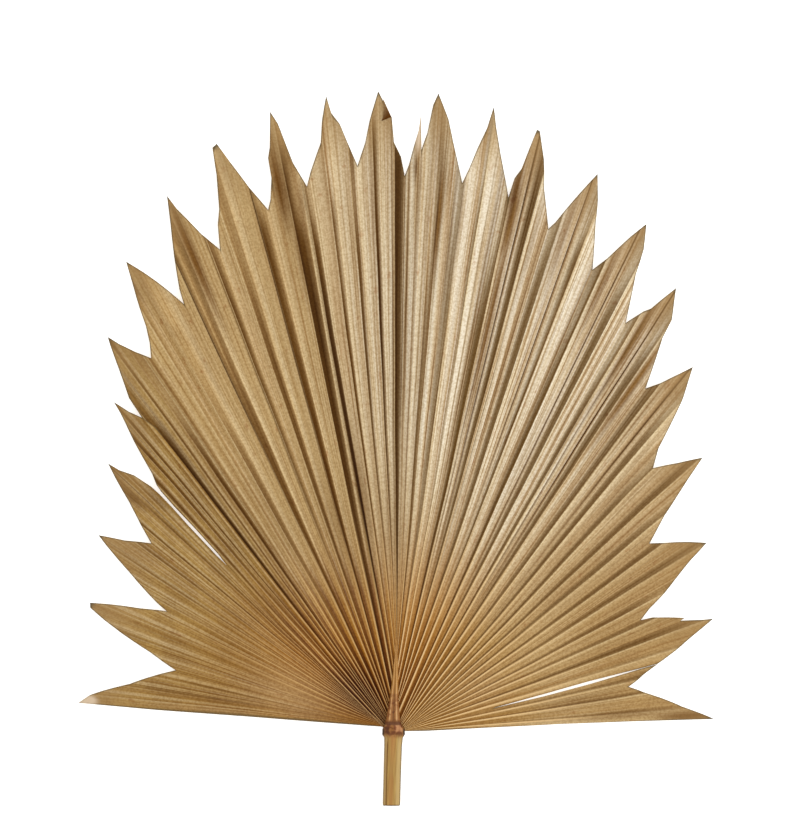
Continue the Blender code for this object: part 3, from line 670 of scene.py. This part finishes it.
def dried_palm_tissue():
    material = bpy.data.materials.new("dried_palm_tissue")
    material.use_nodes = True
    tree = material.node_tree
    shader = tree.nodes["Principled BSDF"]
    facts = {}
    for fact in TISSUE_FACTS:
        facts[fact] = add_node(tree, "Attribute", attribute_name=fact).outputs["Fac"]
    for grain, (per_degree, per_mm, detail) in TISSUE_GRAIN.items():
        spot = []
        for fact, scale in (("across", per_degree), ("out", per_mm)):
            scaled = add_node(tree, "Math", [(0, facts[fact]), (1, scale)], operation="MULTIPLY")
            spot.append(scaled.outputs[0])
        place = add_node(tree, "CombineXYZ", [(0, spot[0]), (1, spot[1])])
        pattern = add_node(tree, "TexNoise", [("Vector", place.outputs[0]), ("Scale", 1.0),
                                              ("Detail", detail)])
        facts[grain] = pattern.outputs["Fac"]
    where = add_node(tree, "TexCoord").outputs["Object"]
    for blotch, per_metre in (("patches", 38.0), ("mottle", 700.0)):
        pattern = add_node(tree, "TexNoise", [("Vector", where), ("Scale", per_metre), ("Detail", 2.0)])
        facts[blotch] = pattern.outputs["Fac"]
    colour = lay_coats(tree, paint("#AC8B50"), facts, TISSUE_COATS)
    tree.links.new(colour, shader.inputs["Base Color"])
    sheen = add_node(tree, "MapRange", [("Value", facts["fibres"]), ("From Min", 0.3), ("From Max", 0.7),
                                        ("To Min", 0.62), ("To Max", 0.45)])
    tree.links.new(sheen.outputs["Result"], shader.inputs["Roughness"])
    shader.inputs["Specular IOR Level"].default_value = 0.03
    rough = add_node(tree, "Math", [(0, facts["fibres"]), (1, facts["mottle"])], operation="ADD")
    bump = add_node(tree, "Bump", [("Strength", 0.4), ("Distance", 0.0004), ("Height", rough.outputs[0])])
    tree.links.new(bump.outputs["Normal"], shader.inputs["Normal"])
    return material


blade.data.materials.append(dried_palm_tissue())
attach(blade, "root")
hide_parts("palm_leaf")

# The stem, with the collar and the spike that it runs on into
# One grown bar of tough fibre: a channelled stalk cut off square, a brown collar with an ear on
# each side where the blade starts, and a spike that tapers away between the upright pleats.

# Its sections: distance up the leaf, middle line, half width, underside, top
STEM = (
    (STEM_END, -2.2, 5.35, 0.0, 5.4),
    (-46.2, -2.2, 5.5, 0.0, 5.6),
    (-30.0, -1.8, 5.5, 0.2, 5.8),
    (-10.0, -1.2, 5.6, 0.4, 5.8),
    (-4.5, -0.9, 5.9, 0.4, 5.8),
    (-2.5, -0.9, 7.2, 0.6, 5.7),
    (0.8, -0.9, 7.0, 0.6, 5.9),
    (3.0, -1.2, 5.6, 0.5, 6.5),
    (5.0, -1.3, 5.1, 0.5, 6.4),
    (7.0, -1.2, 4.4, 0.5, 5.6),
    (19.0, -0.7, 2.9, 0.6, 5.2),
    (31.0, 0.1, 2.0, 0.8, 4.9),
    (44.0, 0.6, 1.2, 1.2, 4.6),
    (58.0, 0.9, 0.4, 2.0, 4.2),
)
STEM_ROWS = 220
STEM_SIDES = 72
ROUNDNESS = 0.6  # of the section: 1 is an ellipse and 0 a rectangle
# The parts of the stem, by distance up the leaf, with soft ends. The ears: middle and spread
STALK = ((-9.0, 1.0), (-3.0, 0.0))
SPIKE = ((3.0, 0.0), (7.0, 1.0))
UPPER_STALK = ((-18.0, 0.0), (-13.0, 1.0))
EARS = (-1.0, 2.6)
# Lines along the upper side: place across, from -1 at the left edge to 1 at the right, and width
LONG_CHANNEL = (-0.64, 0.1)
SHORT_CHANNEL = (0.2, 0.07)
SHORT_CHANNEL_SHARE = 0.6
SPIKE_GROOVE = (0.0, 0.16)
SPIKE_RIDGES = ((-0.52, 0.15), (0.5, 0.17))
EAR_ACROSS = ((0.72, 0.0), (0.92, 1.0))
# Depths and heights in the upper side. Channels are shallower where the stem is slimmer than this
CHANNEL_DEPTH, RIDGE_HEIGHT, FIBRE_HEIGHT = 0.5, 0.12, 0.07
FULL_DEPTH_FROM = 4.0


def bell(x, line):
    """1 at a line's middle, falling off softly to both its sides."""
    middle, width = line
    return np.exp(-((x - middle) / width) ** 2)


def stem_mesh():
    """A tube drawn through STEM, with the channels and fibres pressed into its upper side."""
    stations = np.array(STEM)
    along = np.linspace(stations[0, 0], stations[-1, 0], STEM_ROWS)
    middle, half, low, top = (np.interp(along, stations[:, 0], stations[:, k]) for k in range(1, 5))
    turn = np.linspace(0.0, 2.0 * math.pi, STEM_SIDES, endpoint=False)
    wide = np.sign(np.cos(turn)) * np.abs(np.cos(turn)) ** ROUNDNESS
    tall = np.sign(np.sin(turn)) * np.abs(np.sin(turn)) ** ROUNDNESS
    x = middle[:, None] + half[:, None] * wide
    y = np.broadcast_to(along[:, None], x.shape)
    z = (low + top)[:, None] / 2 + (top - low)[:, None] / 2 * tall
    spot = np.broadcast_to(wide, x.shape)
    upper = np.clip(tall * 2.0, 0.0, 1.0)
    short_channel = SHORT_CHANNEL_SHARE * steps(y, UPPER_STALK) * bell(spot, SHORT_CHANNEL)
    groove = steps(y, STALK) * (bell(spot, LONG_CHANNEL) + short_channel)
    groove = groove + steps(y, SPIKE) * bell(spot, SPIKE_GROOVE)
    ridge = steps(y, SPIKE) * sum(bell(spot, line) for line in SPIKE_RIDGES)
    ear = steps(np.abs(spot), EAR_ACROSS) * bell(y, EARS)
    fibre = FIBRE_HEIGHT * ripple(spot * 60.0, y * 0.8, size=6.0, seed=2.0)
    depth = CHANNEL_DEPTH * np.minimum(1.0, half[:, None] / FULL_DEPTH_FROM)
    z = z + upper * (fibre - depth * groove + RIDGE_HEIGHT * ridge)
    points = np.stack([x, y, np.maximum(z, 0.0)], axis=-1).reshape(-1, 3)
    grid = np.arange(STEM_ROWS * STEM_SIDES).reshape(STEM_ROWS, STEM_SIDES)
    side = np.roll(grid, -1, axis=1)
    quads = np.stack([grid[:-1], side[:-1], side[1:], grid[1:]], axis=-1).reshape(-1, 4)
    mesh = bpy.data.meshes.new("stem")
    points = (points + np.array([*TO_PART, 0.0])) * MM
    faces = quads.tolist() + [grid[0, ::-1].tolist(), grid[-1].tolist()]
    mesh.from_pydata(points.tolist(), [], faces)
    for key, values in (("spot", spot), ("along", y), ("groove", groove), ("ridge", ridge), ("ear", ear)):
        attribute = mesh.attributes.new(key, "FLOAT", "POINT")
        attribute.data.foreach_set("value", values.reshape(-1).astype(np.float32))
    mesh.shade_smooth()
    mesh.update()
    piece = bpy.data.objects.new("stem", mesh)
    bpy.context.scene.collection.objects.link(piece)
    return piece


# Dried palm stalk: hard straw coloured fibre under a smooth skin, red brown at the collar where
# the sap dried, and pinkish along the spike
STALK_COATS = (
    ("MIX", "#947038", 1.0, (("fibres", 0.62, 0.38),)),
    # The stalk: a greyer left side, a pale right side and dark edges; its channels get painted shade below,
    # with the spike's groove
    ("MIX", "#A58A5A", 0.6, (("spot", -0.6, -0.72),)),
    ("MIX", "#C2A872", 0.6, (("spot", 0.3, 0.6), ("along", 0.0, -8.0))),
    ("MIX", "#A8733A", 0.7, (("spot", -0.55, -0.1), ("spot", 0.45, 0.05), ("along", -32.0, -4.0))),
    ("MIX", "#A8733A", 0.5, (("spot", -0.6, -0.2), ("spot", 0.3, 0.0), ("along", -22.0, -32.0))),
    ("MIX", "#3E2A14", 0.85, (("spot", 0.84, 0.95),)),
    ("MIX", "#5E4828", 0.7, (("spot", -0.88, -0.98),)),
    ("MIX", "#4A3014", 0.8, (("along", -46.2, -47.0),)),
    # The spike: two light ridges with painted shade in the groove between them, fading into the blade; the
    # same coat lays painted shade in the stalk's channels
    ("MIX", "#905C2C", 0.95, (("along", 2.0, 6.0),)),
    ("MIX", "#AC7A34", 0.85, (("along", 14.0, 34.0),)),
    ("MIX", "#D2A670", 0.75, (("along", 4.0, 8.0), ("ridge", 0.3, 0.9))),
    ("MIX", "#6A4214", 0.75, (("groove", 0.3, 0.9),)),
    ("MULTIPLY", "#B48A60", 0.7, (("along", 5.0, 8.0), ("along", 30.0, 16.0), ("blotches", 0.5, 0.36))),
    # The collar: a dark band over a blotched red brown ring with a pinkish patch, and dark ears
    ("MIX", "#8E5A2A", 0.85, (("along", -6.0, -0.5), ("along", 5.0, 3.0))),
    ("MIX", "#CC946A", 0.6, (("along", -1.5, 0.5), ("along", 4.4, 3.0), ("spot", 0.0, 0.3),
                             ("spot", 0.9, 0.7))),
    ("MIX", "#6A4220", 0.7, (("along", -3.5, -1.5), ("along", 3.0, 2.0), ("spot", -0.3, -0.5))),
    ("MULTIPLY", "#965E34", 0.75, (("along", -5.0, -1.5), ("along", 6.0, 4.0), ("blotches", 0.58, 0.4))),
    ("MIX", "#552A0C", 0.85, (("along", 3.2, 4.2), ("along", 7.0, 5.2))),
    ("MIX", "#36200A", 0.9, (("ear", 0.25, 0.7),)),
)


# Steps of the fibre pattern: for each half width across, and for each millimetre along
STALK_GRAIN = (9.0, 0.05)


def dried_palm_stalk():
    material = bpy.data.materials.new("dried_palm_stalk")
    material.use_nodes = True
    tree = material.node_tree
    shader = tree.nodes["Principled BSDF"]
    facts = {}
    for fact in ("spot", "along", "groove", "ridge", "ear"):
        facts[fact] = add_node(tree, "Attribute", attribute_name=fact).outputs["Fac"]
    across = add_node(tree, "Math", [(0, facts["spot"]), (1, STALK_GRAIN[0])], operation="MULTIPLY")
    length = add_node(tree, "Math", [(0, facts["along"]), (1, STALK_GRAIN[1])], operation="MULTIPLY")
    place = add_node(tree, "CombineXYZ", [(0, across.outputs[0]), (1, length.outputs[0])])
    pattern = add_node(tree, "TexNoise", [("Vector", place.outputs[0]), ("Scale", 1.0), ("Detail", 4.0)])
    facts["fibres"] = pattern.outputs["Fac"]
    where = add_node(tree, "TexCoord").outputs["Object"]
    pattern = add_node(tree, "TexNoise", [("Vector", where), ("Scale", 320.0), ("Detail", 2.0)])
    facts["blotches"] = pattern.outputs["Fac"]
    tree.links.new(lay_coats(tree, paint("#B08E4C"), facts, STALK_COATS), shader.inputs["Base Color"])
    shader.inputs["Roughness"].default_value = 0.5
    shader.inputs["Specular IOR Level"].default_value = 0.25
    bump = add_node(tree, "Bump", [("Strength", 0.5), ("Distance", 0.0004), ("Height", facts["fibres"])])
    tree.links.new(bump.outputs["Normal"], shader.inputs["Normal"])
    return material


stem = stem_mesh()
stem.data.materials.append(dried_palm_stalk())
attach(stem, "root")
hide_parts("palm_leaf")

# The floor
# The white acrylic top of a light table, which glows enough to take the shadows away, as the
# plain white ground of the photograph has none.
FLOOR_HALF = 6.0  # metres, as is the next
FLOOR_LEVEL = -0.0002
floor_mesh = bpy.data.meshes.new("floor")
floor_mesh.from_pydata([(side * FLOOR_HALF, end * FLOOR_HALF, FLOOR_LEVEL)
                        for side, end in ((-1, -1), (1, -1), (1, 1), (-1, 1))], [], [(0, 1, 2, 3)])
floor = bpy.data.objects.new("floor", floor_mesh)
bpy.context.scene.collection.objects.link(floor)
opal_acrylic = bpy.data.materials.new("opal_acrylic")
opal_acrylic.use_nodes = True
opal_shader = opal_acrylic.node_tree.nodes["Principled BSDF"]
opal_shader.inputs["Base Color"].default_value = paint("#F6F6F4")
opal_shader.inputs["Roughness"].default_value = 0.8
opal_shader.inputs["Emission Color"].default_value = paint("#FFFFFF")
opal_shader.inputs["Emission Strength"].default_value = 0.55
floor.data.materials.append(opal_acrylic)

# The light
# A white room and two softboxes: a large one overhead and a lower one to the right, whose sheen
# lies on the flanks that face right.
world = bpy.data.worlds.new("white_room")
world.use_nodes = True
world.node_tree.nodes["Background"].inputs["Color"].default_value = paint("#FFFCF6")
world.node_tree.nodes["Background"].inputs["Strength"].default_value = 0.75
bpy.context.scene.world = world


def softbox(name, place, size, power):
    """A square area light that faces the middle of the leaf."""
    light = bpy.data.lights.new(name, "AREA")
    light.shape = "SQUARE"
    light.size = size
    light.energy = power
    lamp = bpy.data.objects.new(name, light)
    lamp.location = place
    lamp.rotation_euler = (-Vector(place)).to_track_quat("-Z", "Y").to_euler()
    bpy.context.scene.collection.objects.link(lamp)


softbox("overhead", (0.3, 0.3, 2.4), size=1.6, power=16.0)
softbox("right", (1.6, 0.1, 1.3), size=1.0, power=11.0)

# The camera
# Straight above the leaf, where the photograph's frame is 495.8 by 518.5 mm.
PHOTO_PX = np.array((787.0, 823.0))
FRAME_HEIGHT = PHOTO_PX[1] * PX * MM
FRAME_MIDDLE = (PHOTO_PX / 2 - ORIGIN_PX) * (PX, -PX)
LEAF_LEVEL = 0.0015  # the height over the table at which the frame has that size
CAMERA_HEIGHT = 1.6
lens = bpy.data.cameras.new("camera")
lens.lens = lens.sensor_width * CAMERA_HEIGHT / FRAME_HEIGHT
camera = bpy.data.objects.new("camera", lens)
camera.location = (*((FRAME_MIDDLE + TO_PART) * MM), CAMERA_HEIGHT + LEAF_LEVEL)
bpy.context.scene.collection.objects.link(camera)
bpy.context.scene.camera = camera
bpy.context.scene.view_settings.view_transform = "Standard"
